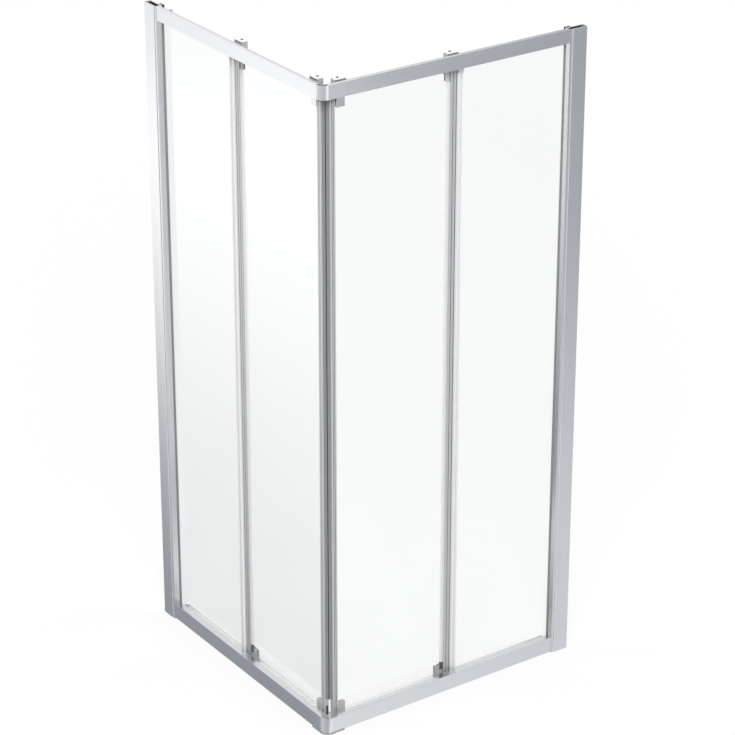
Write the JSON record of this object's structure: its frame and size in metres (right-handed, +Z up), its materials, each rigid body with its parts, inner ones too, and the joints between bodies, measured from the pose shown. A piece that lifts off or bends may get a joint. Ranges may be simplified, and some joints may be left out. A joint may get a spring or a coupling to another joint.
{
  "type": "corner shower enclosure",
  "caption": "Square corner shower enclosure of clear glass in satin aluminium profiles, whose sliding doors meet at the corner.",
  "frame": {"origin": "on the tray, under the middle of the enclosure's square", "axes": "+Z up, the front panel runs along +X on the low Y side and the side panel along +Y on the low X side, so the doors meet at the corner of low X and low Y, and the room's walls are at the high X and high Y ends"},
  "size_m": [0.875, 0.875, 1.95],
  "materials": {
    "profile": "polished satin anodised",
    "stile": "satin anodised",
    "glass": "clear, polished",
    "clear_seal": "clear flexible plastic",
    "gasket": "matte",
    "magnet": "matte",
    "grey_plastic": "matte",
    "dark_plastic": "matte",
    "cap": "bright",
    "steel": "plain",
    "roller": "smooth"
  },
  "bodies": {
    "enclosure_frame": {"front_wall_profile": "profile", "front_post": "profile", "front_post_gasket": "gasket", "front_fixed_glass": "glass", "front_edge_seal": "clear_seal", "front_top_rail": "profile", "front_bottom_rail": "profile", "front_top_stop": "dark_plastic", "front_bottom_stop": "dark_plastic", "front_post_screws": "steel", "side_wall_profile": "profile", "side_post": "profile", "side_post_gasket": "gasket", "side_fixed_glass": "glass", "side_edge_seal": "clear_seal", "side_top_rail": "profile", "side_bottom_rail": "profile", "side_top_stop": "dark_plastic", "side_bottom_stop": "dark_plastic", "side_post_screws": "steel", "top_corner": "profile", "bottom_corner": "profile", "corner_foot": "dark_plastic"},
    "front_door": {"front_door_glass": "glass", "front_lead_stile": "stile", "front_rear_stile": "stile", "front_magnetic_seal": "magnet", "front_rear_bead": "clear_seal", "front_lead_carrier": "grey_plastic", "front_rear_carrier": "grey_plastic", "front_lead_cap": "cap", "front_rear_cap": "cap", "front_lead_clamp": "cap", "front_rear_clamp": "cap", "front_height_screws": "steel", "front_axles": "steel", "front_clamp_bolts": "steel", "front_lead_guide": "grey_plastic", "front_rear_guide": "dark_plastic"},
    "front_lead_roller_body": {"front_lead_roller": "roller"},
    "front_rear_roller_body": {"front_rear_roller": "roller"},
    "side_door": {"side_door_glass": "glass", "side_lead_stile": "stile", "side_rear_stile": "stile", "side_magnetic_seal": "magnet", "side_rear_bead": "clear_seal", "side_lead_carrier": "grey_plastic", "side_rear_carrier": "grey_plastic", "side_lead_cap": "cap", "side_rear_cap": "cap", "side_lead_clamp": "cap", "side_rear_clamp": "cap", "side_height_screws": "steel", "side_axles": "steel", "side_clamp_bolts": "steel", "side_lead_guide": "grey_plastic", "side_rear_guide": "dark_plastic"},
    "side_lead_roller_body": {"side_lead_roller": "roller"},
    "side_rear_roller_body": {"side_rear_roller": "roller"}
  },
  "joints": [
    {"name": "front_door_slide", "type": "slide", "parent": "enclosure_frame", "child": "front_door", "axis": [1, 0, 0], "range_m": [0, 0.339]},
    {"name": "front_lead_roller_turn", "type": "hinge", "parent": "front_door", "child": "front_lead_roller_body", "pos_m": [-0.3415, -0.39, 1.9309], "axis": [0, 1, 0], "range_deg": [0, 2945]},
    {"name": "front_rear_roller_turn", "type": "hinge", "parent": "front_door", "child": "front_rear_roller_body", "pos_m": [0.02, -0.39, 1.9309], "axis": [0, 1, 0], "range_deg": [0, 2945]},
    {"name": "side_door_slide", "type": "slide", "parent": "enclosure_frame", "child": "side_door", "axis": [0, 1, 0], "range_m": [0, 0.339]},
    {"name": "side_lead_roller_turn", "type": "hinge", "parent": "side_door", "child": "side_lead_roller_body", "pos_m": [-0.39, -0.3415, 1.9309], "axis": [-1, 0, 0], "range_deg": [0, 2945]},
    {"name": "side_rear_roller_turn", "type": "hinge", "parent": "side_door", "child": "side_rear_roller_body", "pos_m": [-0.39, 0.02, 1.9309], "axis": [-1, 0, 0], "range_deg": [0, 2945]}
  ],
  "couplings": [
    {"joint": "front_lead_roller_turn", "follows": "front_door_slide", "rad_per_m": 151.51},
    {"joint": "front_rear_roller_turn", "follows": "front_door_slide", "rad_per_m": 151.51},
    {"joint": "side_lead_roller_turn", "follows": "side_door_slide", "rad_per_m": 151.51},
    {"joint": "side_rear_roller_turn", "follows": "side_door_slide", "rad_per_m": 151.51}
  ]
}
